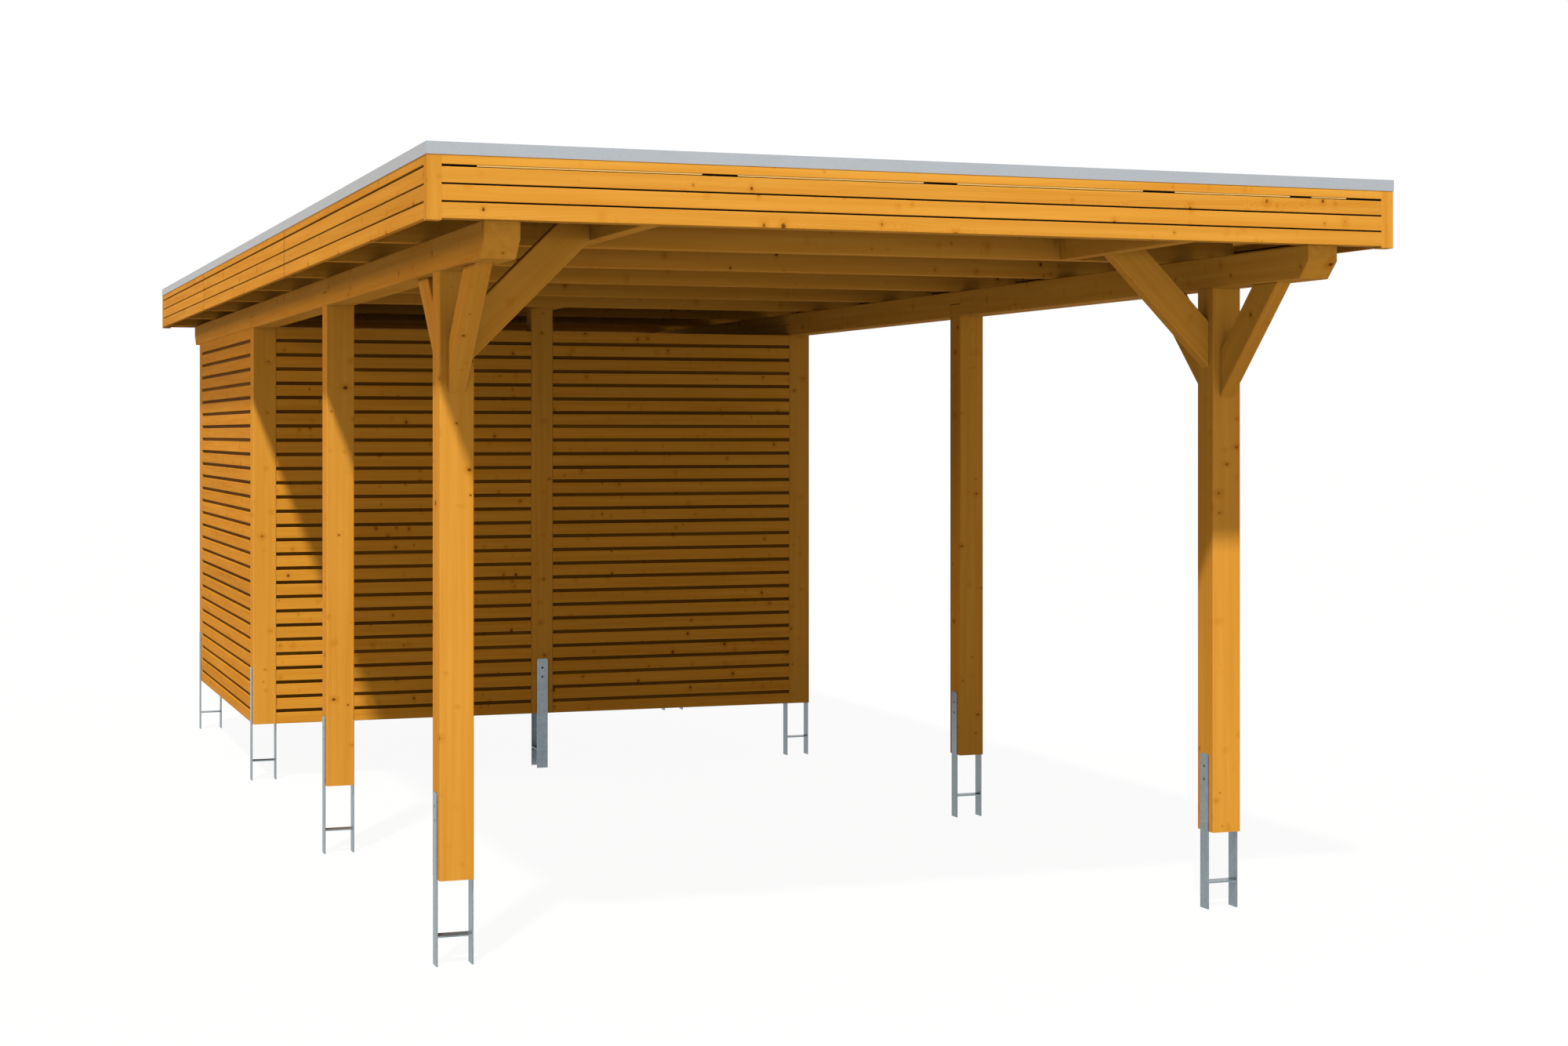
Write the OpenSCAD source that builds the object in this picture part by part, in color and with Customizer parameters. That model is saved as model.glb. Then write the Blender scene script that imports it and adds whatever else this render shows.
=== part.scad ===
// Timber carport with a flat roof and a boarded store room at the rear.
// X runs across, Y from the front to the rear, Z up. The origin lies under the
// middle of the roof, level with the lower ends of the post anchors.

/* [Posts] */
// Side of the square posts
post_side = 120; // [90:5:160]
// Length of the side posts
post_h = 2100; // [1800:10:2600]
// Distance across, between the centres of the two post rows
row_spacing = 3015; // [2400:5:4000]
// Distance along a row, from post centre to post centre
bay_l = 2400; // [1800:10:3000]
// Height of the post feet above the lower ends of the anchors
foot_h = 300; // [200:10:500]
// Small chamfer along the long edges of the timbers
edge_ease = 3; // [1:0.5:6]

/* [Post anchors] */
// Length of the upright flats
anchor_l = 600; // [400:10:800]
// Width of the flats
anchor_w = 60; // [40:2:80]
// Thickness of the flats
anchor_t = 5; // [4:1:10]
// Height of the cross bar above the lower end
anchor_bar_h = 100; // [40:1:180]
// Radius of the flats' upper corners
anchor_corner = 10; // [4:1:18]
// Diameter of the bolt holes
bolt_d = 11; // [8:0.5:16]
// Distance of the upper bolt hole from the top of the flat
bolt_edge = 50; // [25:1:70]
// Distance between the two bolt holes
bolt_pitch = 50; // [30:1:70]

/* [Purlins] */
// Height of the purlins, which are as wide as the posts
purlin_h = 120; // [90:5:200]
// Length of the slope at each purlin end
purlin_slope_l = 60; // [20:1:100]
// Height of the slope at each purlin end
purlin_slope_h = 60; // [20:1:80]

/* [Rafters] */
// Thickness of the rafters
rafter_t = 60; // [40:2:100]
// Height of the rafters
rafter_h = 160; // [120:5:240]
// Number of rafters
rafter_count = 9; // [7:1:13]

/* [Braces] */
// Thickness of the braces
brace_t = 60; // [40:2:80]
// Depth of the braces, square to their length
brace_w = 125; // [80:5:140]
// Reach of the braces under the purlins, measured from the post
brace_reach = 420; // [300:5:600]
// Distance from the post to the blocking that holds the inward brace
cross_brace_reach = 424; // [300:2:600]

/* [Store room walls] */
// Thickness of the wall boards
wall_t = 28; // [18:1:29]
// Number of boards in the height
wall_boards = 28; // [16:1:36]
// Width of the groove between two boards
groove_w = 18; // [6:1:30]
// Depth of the groove
groove_d = 14; // [4:1:16]

/* [Roof edge] */
// Overhang of the fascia in front of the posts
front_overhang = 741; // [560:1:900]
// Overhang of the fascia behind the posts
rear_overhang = 335; // [260:5:600]
// Overhang of the fascia beside the posts
side_overhang = 195; // [130:5:400]
// Thickness of the fascia boards
fascia_t = 20; // [15:1:30]
// Height of the lower fascia boards
fascia_board_h = 50.5; // [40:0.5:70]
// Gap between the fascia boards
fascia_gap = 5.5; // [2:0.5:10]
// Gap below the top fascia board
top_gap = 7.5; // [2:0.5:12]
// Number of fascia boards one above the other
fascia_rows = 4; // [3:1:4]
// How far the fascia reaches below the rafters
fascia_drop = 5; // [2:1:40]
// Length of the side fascia boards, counted from the front
side_board_l = 3020; // [2000:10:4000]
// Gap between two side boards that meet end to end
seam_gap = 2; // [1:0.5:5]
// Side of the square battens at the four corners
corner_side = 48; // [40:1:80]
// How far the corner battens reach below the fascia boards
corner_drop = 7; // [2:1:30]
// Depth of the battens between the rafters and the fascia
batten_t = 40; // [20:1:60]
// Width of those battens
batten_w = 50; // [30:1:58]

/* [Roof] */
// Thickness of the roof deck
deck_t = 19; // [15:1:28]
// Thickness of the roofing sheet
sheet_t = 4; // [2:0.5:10]
// Height of the roof edge above the rafters
edge_h = 75; // [55:1:120]
// Length of each notch in the ends of the deck, around a batten
notch_l = 125; // [70:5:200]
// Number of notches in each end of the deck
notch_count = 5; // [3:1:7]
// Thickness of the edge trim
trim_t = 2; // [1:0.5:6]
// Height of the trim's upright leg
trim_leg_h = 40; // [20:1:60]
// Width of the trim's flat leg, inward from the fascia's face
trim_flat_w = 62; // [30:1:90]

/* [Hidden] */
// The posts stand in four rows: two open bays, then the store room
bays = 3;
store_front_row = 2;
purlin_pieces = 3;
// How far a cutting shape runs past the face that it cuts
overrun = 1;
hole_fn = 48;

// Heights
post_top = foot_h + post_h;
rafter_z = post_top + purlin_h;
rafter_top = rafter_z + rafter_h;
lap_z = post_top + purlin_h / 2;
edge_top = rafter_top + edge_h;
fascia_z = rafter_z - fascia_drop;
fascia_pitch = fascia_board_h + fascia_gap;
wall_h = post_h;
board_pitch = (wall_h + groove_w) / wall_boards;

// Plan
roof_w = row_spacing + post_side + 2 * side_overhang;
roof_l = front_overhang + bays * bay_l + post_side + rear_overhang;
front_y = -roof_l / 2;
rear_y = roof_l / 2;
row_x = row_spacing / 2;
first_post_y = front_y + front_overhang + post_side / 2;
post_y = [for (i = [0 : bays]) first_post_y + i * bay_l];
store_y = post_y[store_front_row];
last_y = post_y[bays];
half_post = post_side / 2;

// The outer rafters stand behind the fascia by a board and a batten
rafter_in = fascia_t + batten_t;
rafter_len = roof_w - 2 * rafter_in;
rafter_pitch = (roof_l - 2 * rafter_in - rafter_t) / (rafter_count - 1);
rafter_y = [for (i = [0 : rafter_count - 1]) front_y + rafter_in + i * rafter_pitch];
front_board_l = roof_w - 2 * corner_side;
side_span = roof_l - 2 * corner_side;
notch_pitch = (front_board_l - notch_l) / (notch_count - 1);
notch_x = [for (i = [0 : notch_count - 1]) (i - (notch_count - 1) / 2) * notch_pitch];

timber = [0.78, 0.50, 0.16];
dark_timber = [0.62, 0.40, 0.13];
steel = [0.55, 0.60, 0.64];
trim_metal = [0.68, 0.73, 0.78];
roofing = [0.25, 0.26, 0.27];

// A square with its corners cut by the small chamfer, centred on the origin
module eased_square(side) {
    h = side / 2;
    e = h - edge_ease;
    polygon([[-h, -e], [-e, -h], [e, -h], [h, -e], [h, e], [e, h], [-e, h], [-h, e]]);
}

// The two bolt holes near an anchor's top, along X, through a post at the origin
module bolt_holes() {
    reach = half_post + anchor_t + overrun;
    for (i = [0, 1])
        translate([-reach, 0, anchor_l - bolt_edge - i * bolt_pitch])
            rotate([0, 90, 0]) cylinder(d = bolt_d, h = 2 * reach, $fn = hole_fn);
}

// A post with its foot above the ground, drilled for its anchor's bolts
module post(x, y, top, turn = 0) {
    color(timber) translate([x, y, 0]) rotate([0, 0, turn]) difference() {
        translate([0, 0, foot_h]) linear_extrude(top - foot_h) eased_square(post_side);
        bolt_holes();
    }
}

// Front view of an anchor's upright flat, with its two upper corners rounded
module flat_outline() {
    r = anchor_corner;
    translate([-anchor_w / 2, 0]) square([anchor_w, anchor_l - r]);
    translate([r - anchor_w / 2, 0]) square([anchor_w - 2 * r, anchor_l]);
    for (side = [-1, 1])
        translate([side * (anchor_w / 2 - r), anchor_l - r]) circle(r = r, $fn = hole_fn);
}

// An H of two flats on opposite sides of the post, joined by a flat bar
module anchor(x, y, turn = 0) {
    color(steel) translate([x, y, 0]) rotate([0, 0, turn]) difference() {
        union() {
            for (side = [-1, 1])
                slab_along_x(side * (half_post + anchor_t / 2), anchor_t) flat_outline();
            translate([-half_post, -anchor_w / 2, anchor_bar_h])
                cube([post_side, anchor_w, anchor_t]);
        }
        bolt_holes();
    }
}

module anchor_row(y, middle = false) {
    for (side = [-1, 1]) anchor(side * row_x, y);
    if (middle) anchor(0, y, 90);
}

// Draws a shape of Y and Z points as a slab that is centred on x
module slab_along_x(x, thick) {
    translate([x - thick / 2, 0, 0]) rotate([90, 0, 90]) linear_extrude(thick) children();
}

// Draws a shape of X and Z points as a slab that is centred on y
module slab_along_y(y, thick) {
    translate([0, y + thick / 2, 0]) rotate([90, 0, 0]) linear_extrude(thick) children();
}

// One length of a purlin: sloped at a free end, half-lapped over a post
module purlin(side, piece) {
    first = piece == 0;
    last = piece == purlin_pieces - 1;
    slope_z = post_top + purlin_slope_h;
    y0 = front_y + rafter_in;
    y1 = rear_y - rafter_in;
    lap0 = first ? 0 : post_y[piece];
    lap1 = last ? 0 : post_y[piece + 1];
    start = first
        ? [[y0 + purlin_slope_l, post_top], [y0, slope_z], [y0, rafter_z]]
        : [[lap0 + half_post, post_top], [lap0 + half_post, lap_z],
           [lap0 - half_post, lap_z], [lap0 - half_post, rafter_z]];
    end = last
        ? [[y1, rafter_z], [y1, slope_z], [y1 - purlin_slope_l, post_top]]
        : [[lap1 - half_post, rafter_z], [lap1 - half_post, lap_z],
           [lap1 + half_post, lap_z], [lap1 + half_post, post_top]];
    color(timber) slab_along_x(side * row_x, post_side) polygon(concat(start, end));
}

// Vertical length of a brace's cut where it meets a post or a purlin at 45 degrees
function brace_cut() = brace_w * sqrt(2);

// A brace under a purlin; the points are measured from the corner of post and purlin
module purlin_brace(side, towards) {
    near = brace_reach - brace_cut();
    y = post_y[0] + towards * half_post;
    color(timber) slab_along_x(side * row_x, brace_t) translate([y, post_top])
        polygon([[0, -brace_reach], [towards * brace_reach, 0], [towards * near, 0], [0, -near]]);
}

// A brace from the post inward and up between two rafters, cut upright at its head
module cross_brace(side) {
    reach = cross_brace_reach;
    top = min(brace_cut(), rafter_h);
    head = brace_cut() > rafter_h ? [[-side * (reach + top - brace_cut()), top]] : [];
    color(timber) slab_along_y(post_y[0], brace_t)
        translate([side * (row_x - half_post), rafter_z])
            polygon(concat([[0, -reach], [-side * reach, 0], [-side * reach, top]], head,
                           [[0, brace_cut() - reach]]));
}

module braces(side) {
    for (towards = [-1, 1]) purlin_brace(side, towards);
    cross_brace(side);
}

module rafters() {
    color(timber) for (y = rafter_y)
        translate([-rafter_len / 2, y, rafter_z]) cube([rafter_len, rafter_t, rafter_h]);
}

// A timber between the two rafters on either side of y
module blocking(x, y, thick) {
    gap = floor((y - rafter_y[0]) / rafter_pitch);
    color(timber) translate([x - thick / 2, rafter_y[gap] + rafter_t, rafter_z])
        cube([thick, rafter_pitch - rafter_t, rafter_h]);
}

module brace_blockings() {
    x = row_x - half_post - cross_brace_reach - rafter_t / 2;
    for (side = [-1, 1]) blocking(side * x, post_y[0], rafter_t);
}

module post_blockings() {
    for (y = [store_y, last_y]) blocking(0, y, post_side);
}

// Section of a boarded wall: the outer face at zero, grooves between the boards
module wall_section() {
    difference() {
        square([wall_t, wall_h]);
        for (i = [1 : wall_boards - 1])
            translate([-overrun, i * board_pitch - groove_w])
                square([groove_d + overrun, groove_w]);
    }
}

// A wall of the given length, turned so that its outer face looks the right way
module wall(x, y, turn, len) {
    color(dark_timber) translate([x, y, foot_h]) rotate([0, 0, turn])
        rotate([90, 0, 90]) linear_extrude(len) wall_section();
}

half_wall_l = row_x - post_side;
side_wall_l = bay_l - post_side;

module store_front_wall(x) wall(x, store_y - half_post, 0, half_wall_l);
module store_rear_wall(x) wall(x, last_y + half_post, 180, half_wall_l);

// Lower edge and height of a fascia board; the top one runs on up under the trim
function is_top(i) = i == fascia_rows - 1;
function board_z(i) = fascia_z + i * fascia_pitch + (is_top(i) ? top_gap - fascia_gap : 0);
function board_h(i) = is_top(i) ? edge_top - trim_t - board_z(i) : fascia_board_h;

module end_fascia(y) {
    color(timber) for (i = [0 : fascia_rows - 1])
        translate([-front_board_l / 2, y, board_z(i)])
            cube([front_board_l, fascia_t, board_h(i)]);
}

// The side boards follow each other from the front, the last one shorter
module side_fascia(x) {
    step = side_board_l + seam_gap;
    pieces = ceil((side_span + seam_gap) / step);
    color(timber) for (i = [0 : fascia_rows - 1], k = [0 : pieces - 1])
        translate([x, front_y + corner_side + k * step, board_z(i)])
            cube([fascia_t, min(side_board_l, side_span - k * step), board_h(i)]);
}

module corner_squares() {
    for (sx = [-1, 1], sy = [-1, 1])
        translate([sx * (roof_w - corner_side) / 2, sy * (roof_l - corner_side) / 2])
            square(corner_side, center = true);
}

module corner_battens() {
    z = fascia_z - corner_drop;
    color(timber) translate([0, 0, z]) linear_extrude(edge_top - trim_t - z) corner_squares();
}

// Upright battens that hold the fascia off the rafters, at the deck's notches and
// at each rafter's two ends
module fascia_battens() {
    color(timber) translate([0, 0, rafter_z]) linear_extrude(edge_top - trim_t - rafter_z) {
        for (x = notch_x, side = [-1, 1])
            translate([x, side * (roof_l / 2 - fascia_t - batten_t / 2)])
                square([batten_w, batten_t], center = true);
        for (y = rafter_y, side = [-1, 1])
            translate([side * (roof_w / 2 - fascia_t - batten_t / 2), y + rafter_t / 2])
                square([batten_t, batten_w], center = true);
    }
}

// Outline of the deck: as wide as the rafters, out to the fascia at its notched ends
module deck_outline() {
    l = roof_l - 2 * fascia_t;
    difference() {
        square([rafter_len, l], center = true);
        for (x = notch_x, side = [-1, 1])
            translate([x, side * l / 2])
                square([notch_l, 2 * batten_t], center = true);
    }
}

module roof_deck() {
    color(timber) translate([0, 0, rafter_top]) linear_extrude(deck_t) deck_outline();
}

module roof_sheet() {
    color(roofing) translate([0, 0, rafter_top + deck_t]) linear_extrude(sheet_t) deck_outline();
}

module slab(w, l, z, h) {
    translate([-w / 2, -l / 2, z]) cube([w, l, h]);
}

// The whole folded edge: a leg over the fascia and a flat leg over its top
module trim_ring() {
    leg_z = edge_top - trim_leg_h;
    difference() {
        slab(roof_w + 2 * trim_t, roof_l + 2 * trim_t, leg_z, trim_leg_h);
        slab(roof_w, roof_l, leg_z - overrun, trim_leg_h + overrun - trim_t);
        slab(roof_w - 2 * trim_flat_w, roof_l - 2 * trim_flat_w, leg_z - overrun,
             trim_leg_h + 2 * overrun);
    }
}

// One side of the edge, mitred at both corners
module trim_side(w, l, turn) {
    m = trim_flat_w + trim_t;
    ox = w / 2 + trim_t;
    oy = l / 2 + trim_t;
    color(trim_metal) intersection() {
        trim_ring();
        translate([0, 0, edge_top - trim_leg_h - overrun]) rotate([0, 0, turn])
            linear_extrude(trim_leg_h + 2 * overrun)
                polygon([[-ox, -oy], [ox, -oy], [ox - m, m - oy], [m - ox, m - oy]]);
    }
}

module front_left_post() post(-row_x, post_y[0], post_top);
module front_right_post() post(row_x, post_y[0], post_top);
module second_left_post() post(-row_x, post_y[1], post_top);
module second_right_post() post(row_x, post_y[1], post_top);
module store_front_left_post() post(-row_x, store_y, post_top);
module store_front_right_post() post(row_x, store_y, post_top);
module store_front_middle_post() post(0, store_y, rafter_z, 90);
module store_rear_left_post() post(-row_x, last_y, post_top);
module store_rear_right_post() post(row_x, last_y, post_top);
module store_rear_middle_post() post(0, last_y, rafter_z, 90);
module front_anchors() anchor_row(post_y[0]);
module second_anchors() anchor_row(post_y[1]);
module store_front_anchors() anchor_row(store_y, true);
module store_rear_anchors() anchor_row(last_y, true);
module left_front_purlin() purlin(-1, 0);
module left_middle_purlin() purlin(-1, 1);
module left_rear_purlin() purlin(-1, 2);
module right_front_purlin() purlin(1, 0);
module right_middle_purlin() purlin(1, 1);
module right_rear_purlin() purlin(1, 2);
module left_braces() braces(-1);
module right_braces() braces(1);
module store_front_left_wall() store_front_wall(half_post - row_x);
module store_front_right_wall() store_front_wall(half_post);
module store_left_wall() wall(-row_x - half_post, last_y - half_post, -90, side_wall_l);
module store_right_wall() wall(row_x + half_post, store_y + half_post, 90, side_wall_l);
module store_rear_left_wall() store_rear_wall(-half_post);
module store_rear_right_wall() store_rear_wall(row_x - half_post);
module front_fascia() end_fascia(front_y);
module rear_fascia() end_fascia(rear_y - fascia_t);
module left_fascia() side_fascia(-roof_w / 2);
module right_fascia() side_fascia(roof_w / 2 - fascia_t);
module front_trim() trim_side(roof_w, roof_l, 0);
module rear_trim() trim_side(roof_w, roof_l, 180);
module left_trim() trim_side(roof_l, roof_w, -90);
module right_trim() trim_side(roof_l, roof_w, 90);

front_left_post();
front_right_post();
second_left_post();
second_right_post();
store_front_left_post();
store_front_right_post();
store_front_middle_post();
store_rear_left_post();
store_rear_right_post();
store_rear_middle_post();
front_anchors();
second_anchors();
store_front_anchors();
store_rear_anchors();
left_front_purlin();
left_middle_purlin();
left_rear_purlin();
right_front_purlin();
right_middle_purlin();
right_rear_purlin();
left_braces();
right_braces();
rafters();
brace_blockings();
post_blockings();
store_front_left_wall();
store_front_right_wall();
store_left_wall();
store_right_wall();
store_rear_left_wall();
store_rear_right_wall();
front_fascia();
rear_fascia();
left_fascia();
right_fascia();
corner_battens();
fascia_battens();
roof_deck();
roof_sheet();
front_trim();
rear_trim();
left_trim();
right_trim();
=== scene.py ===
# %% [markdown]
# A timber carport with a store room at its rear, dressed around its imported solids.
# The solids give every place and size. This lesson makes single boards and timbers with eased
# edges out of them, lets grain and knots run along each one, and finishes the steel and the roof.

# %% Load the solids
import math

import bpy
import numpy as np
from mathutils import Matrix, Vector


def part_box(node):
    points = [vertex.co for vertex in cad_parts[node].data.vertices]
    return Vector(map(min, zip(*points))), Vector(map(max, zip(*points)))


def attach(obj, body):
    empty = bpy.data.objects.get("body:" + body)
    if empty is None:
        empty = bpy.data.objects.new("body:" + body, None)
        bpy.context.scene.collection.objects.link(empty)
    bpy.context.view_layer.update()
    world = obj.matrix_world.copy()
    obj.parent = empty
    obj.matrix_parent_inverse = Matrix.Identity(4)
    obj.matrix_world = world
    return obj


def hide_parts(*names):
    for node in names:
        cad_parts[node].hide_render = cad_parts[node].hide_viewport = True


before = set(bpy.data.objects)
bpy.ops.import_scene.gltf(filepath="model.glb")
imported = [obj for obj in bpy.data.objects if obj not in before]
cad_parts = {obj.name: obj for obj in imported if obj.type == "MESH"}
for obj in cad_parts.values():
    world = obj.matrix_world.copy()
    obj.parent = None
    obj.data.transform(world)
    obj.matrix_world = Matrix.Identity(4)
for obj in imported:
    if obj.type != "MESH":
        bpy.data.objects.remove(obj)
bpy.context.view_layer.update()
scene = bpy.context.scene
scene.view_settings.view_transform = "Standard"

# %% [markdown]
# The camera stands well in front, to the left of the left post row, level with the upper third of
# the posts. It is held level, so that posts stay upright in the picture, and the picture is shifted
# down instead of tilting the camera. Its place, turn and lens come from straight edges of the frame.

# %% Camera
PICTURE_SIZE = (2000, 1334)
SENSOR_WIDTH = 36.0
FOCAL_PIXELS = 3111.3
HORIZON_ROW = 552.4
CAMERA_PLACE = (-3.2886, -11.7477, 1.8412)
CAMERA_TURN = math.radians(19.763)

camera_data = bpy.data.cameras.new("camera")
camera_data.sensor_width = SENSOR_WIDTH
camera_data.lens = FOCAL_PIXELS / PICTURE_SIZE[0] * SENSOR_WIDTH
camera_data.shift_y = (HORIZON_ROW - PICTURE_SIZE[1] / 2) / PICTURE_SIZE[0]
camera = bpy.data.objects.new("camera", camera_data)
camera.location = CAMERA_PLACE
camera.rotation_euler = (math.pi / 2, 0.0, -CAMERA_TURN)
scene.collection.objects.link(camera)
scene.camera = camera
print("lens", round(camera_data.lens, 2), "mm, shift", round(camera_data.shift_y, 4))

# %% [markdown]
# Materials are wired from many small nodes, so a few helpers come first: one puts a node into a
# tree and fills its inputs, one mixes two colours, one fades a value smoothly between two limits.
# Colours are written as the 0 to 255 values that a screen shows and changed to linear light here.


# %% Node helpers
def shade(red, green, blue):
    """Screen values to linear light, by the two-part curve of the sRGB standard."""
    value = np.array([red, green, blue]) / 255.0
    linear = np.where(value > 0.04045, ((value + 0.055) / 1.055) ** 2.4, value / 12.92)
    return (*linear.tolist(), 1.0)


def fill(tree, socket, value):
    """Links an output to the socket, or writes a plain value on it."""
    if isinstance(value, bpy.types.NodeSocket):
        tree.links.new(value, socket)
    else:
        socket.default_value = value


def put(tree, kind, settings, *values, **named):
    """Adds a node, sets its options, and fills its inputs in order and by name."""
    node = tree.nodes.new("ShaderNode" + kind)
    for option, choice in settings.items():
        setattr(node, option, choice)
    for place, value in enumerate(values):
        fill(tree, node.inputs[place], value)
    for name, value in named.items():
        fill(tree, node.inputs[name.replace("_", " ")], value)
    return node


def work(tree, operation, *values):
    """One sum on single values. MULTIPLY_ADD is the first times the second, plus the third."""
    return put(tree, "Math", {"operation": operation}, *values).outputs[0]


def mixed(tree, factor, first, second):
    """Two colours mixed by a factor."""
    node = put(tree, "Mix", {"data_type": "RGBA"})
    for place, value in zip((0, 6, 7), (factor, first, second)):
        fill(tree, node.inputs[place], value)
    return node.outputs[2]


def fade(tree, value, zero_at, one_at):
    """A soft step that is 0 at one limit and 1 at the other."""
    node = put(tree, "MapRange", {"interpolation_type": "SMOOTHSTEP"}, value, zero_at, one_at)
    return node.outputs[0]


def new_group(name, inputs, outputs):
    """An empty node group with its named sockets, and the ends of its inside."""
    group = bpy.data.node_groups.new(name, "ShaderNodeTree")
    for label, kind in inputs.items():
        group.interface.new_socket(label, in_out="INPUT", socket_type="NodeSocket" + kind)
    for label, kind in outputs.items():
        group.interface.new_socket(label, in_out="OUTPUT", socket_type="NodeSocket" + kind)
    return group, group.nodes.new("NodeGroupInput").outputs, group.nodes.new("NodeGroupOutput").inputs


def new_material(name):
    """A material with its shader, its tree and nothing else."""
    material = bpy.data.materials.new(name)
    material.use_nodes = True
    return material, material.node_tree, material.node_tree.nodes["Principled BSDF"]


print("helpers ready, a mid grey is", round(shade(128, 128, 128)[0], 3))

# %% [markdown]
# The object stands on a pale floor. It could be a white sheet lit up to white, but that would throw
# too much light under the roof. So rays from the camera, and mirrored ones, see it white, while it
# passes on only a part of the light. It still shows the object's soft shadow. From below it is clear,
# so that the underside of the roof can be looked at.

# %% Floor
FLOOR_REACH = 150.0
FLOOR_GLOW = 0.94
FLOOR_SEEN = shade(242, 242, 242)
FLOOR_LIT = shade(152, 150, 147)
WHITE = (1.0, 1.0, 1.0, 1.0)


def seen_rays(tree):
    """1 for rays from the camera and for mirrored or passed-on ones, 0 for the light's own rays."""
    path = put(tree, "LightPath", {}).outputs
    mirrored = work(tree, "MAXIMUM", path["Is Glossy Ray"], path["Is Transmission Ray"])
    return work(tree, "MAXIMUM", path["Is Camera Ray"], mirrored)


floor_mesh = bpy.data.meshes.new("floor")
floor_corners = np.array([(-1, -1, 0), (1, -1, 0), (1, 1, 0), (-1, 1, 0)]) * FLOOR_REACH
floor_mesh.from_pydata(floor_corners.tolist(), [], [(0, 1, 2, 3)])
floor = bpy.data.objects.new("floor", floor_mesh)
scene.collection.objects.link(floor)

floor_paint, tree, spare_shader = new_material("pale_floor")
tree.nodes.remove(spare_shader)
seen = seen_rays(tree)
matt = put(tree, "BsdfDiffuse", {}, mixed(tree, seen, FLOOR_LIT, FLOOR_SEEN))
glow = put(tree, "Emission", {}, WHITE, 1.0)
glow_share = work(tree, "MULTIPLY", seen, FLOOR_GLOW)
pale = put(tree, "MixShader", {}, glow_share, matt.outputs[0], glow.outputs[0])
from_below = put(tree, "NewGeometry", {}).outputs["Backfacing"]
clear = put(tree, "BsdfTransparent", {})
floor_mix = put(tree, "MixShader", {}, from_below, pale.outputs[0], clear.outputs[0])
tree.links.new(floor_mix.outputs[0], tree.nodes["Material Output"].inputs[0])
floor_mesh.materials.append(floor_paint)
print("floor reaches", FLOOR_REACH, "m each way")

# %% [markdown]
# One main light stands high on the front left and throws the shadow of the roof. An even pale
# surround and three wide soft panels, in front, high on the left and behind on the right, fill the
# shade. A panel is seen neither by the camera nor in the metal.

# %% Surround and lights
SURROUND_STRENGTH = 0.27
SURROUND_SEEN = 1.0
MAIN_LIGHT_RUN = (0.376, 0.682, -1.0)
MAIN_LIGHT_STRENGTH = 3.3
MAIN_LIGHT_WIDTH = math.radians(2.5)
MAIN_LIGHT_COLOUR = (1.0, 0.98, 0.94)

surround = bpy.data.worlds.new("surround")
surround.use_nodes = True
tree = surround.node_tree
strength = put(tree, "MapRange", {}, seen_rays(tree), 0.0, 1.0, SURROUND_STRENGTH, SURROUND_SEEN)
background = tree.nodes["Background"]
background.inputs[0].default_value = WHITE
tree.links.new(strength.outputs[0], background.inputs[1])
scene.world = surround

main_light_data = bpy.data.lights.new("main_light", "SUN")
main_light_data.energy = MAIN_LIGHT_STRENGTH
main_light_data.angle = MAIN_LIGHT_WIDTH
main_light_data.color = MAIN_LIGHT_COLOUR
main_light = bpy.data.objects.new("main_light", main_light_data)
light_yaw = math.atan2(MAIN_LIGHT_RUN[1], MAIN_LIGHT_RUN[0]) - math.pi / 2
light_tilt = math.atan2(math.hypot(MAIN_LIGHT_RUN[0], MAIN_LIGHT_RUN[1]), -MAIN_LIGHT_RUN[2])
main_light.rotation_euler = (light_tilt, 0.0, light_yaw)
scene.collection.objects.link(main_light)


def soft_panel(name, place, aim, width, height, power, colour):
    """A wide lamp that shines along its aim and is not seen itself."""
    data = bpy.data.lights.new(name, "AREA")
    data.shape = "RECTANGLE"
    data.size = width
    data.size_y = height
    data.energy = power
    data.color = colour
    panel = bpy.data.objects.new(name, data)
    panel.location = place
    panel.rotation_euler = Vector(aim).to_track_quat("-Z", "Y").to_euler()
    panel.visible_camera = False
    panel.visible_glossy = False
    scene.collection.objects.link(panel)


soft_panel("front_panel", place=(0.0, -7.6, 2.42), aim=(0.0, 1.0, 0.0),
           width=7.0, height=0.4, power=38.0, colour=(1.0, 0.99, 0.96))
soft_panel("left_panel", place=(-9.0, 0.0, 5.0), aim=(1.0, 0.0, -0.45),
           width=9.0, height=2.0, power=175.0, colour=(1.0, 0.68, 0.15))
soft_panel("rear_panel", place=(7.0, 9.0, 2.6), aim=(-0.7, -1.0, -0.12),
           width=7.0, height=1.5, power=240.0, colour=(1.0, 0.97, 0.9))
print("main light stands", round(90 - math.degrees(light_tilt), 1), "degrees above level")

# %% [markdown]
# The timber is stained spruce. Its figure comes from growth rings: a tree lays a pale and a dark
# band round its heart each year, and a sawn face cuts through them. A picture of wood could be
# wrapped round each timber, but then faces would not agree at their edges. Here each timber carries
# its own coordinates, the first along the grain and the other two from the heart of its tree,
# so rings, streaks and knots run through it as through real wood, end grain included.
# The knots come first. Scattered points are their middles, and draws of each point say whether a
# knot is there, how large and how dark. Limits are in knot radii: where an effect ends, and is full.

# %% Shared grain group and its knots
KNOTS_PER_METRE = 13.0
KNOT_FLATNESS = 1.25
KNOT_SMALLEST = 0.0035
KNOT_SPREAD = 0.0095
KNOTS_LEFT_OUT = 0.22
KNOT_FAINTEST = 0.45
CORE_LIMITS = (1.1, 0.5)
RIM_LIMITS = (3.2, 0.9)
PUSH_LIMITS = (6.0, 0.0)

spruce, given, result = new_group(
    "spruce_grain",
    {"Grain": "Vector", "Tone": "Float", "Pale Wood": "Color", "Dark Wood": "Color",
     "Knot Wood": "Color", "Ring Width": "Float", "Streaks": "Float"},
    {"Color": "Color", "Roughness": "Float", "Height": "Float"})

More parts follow.
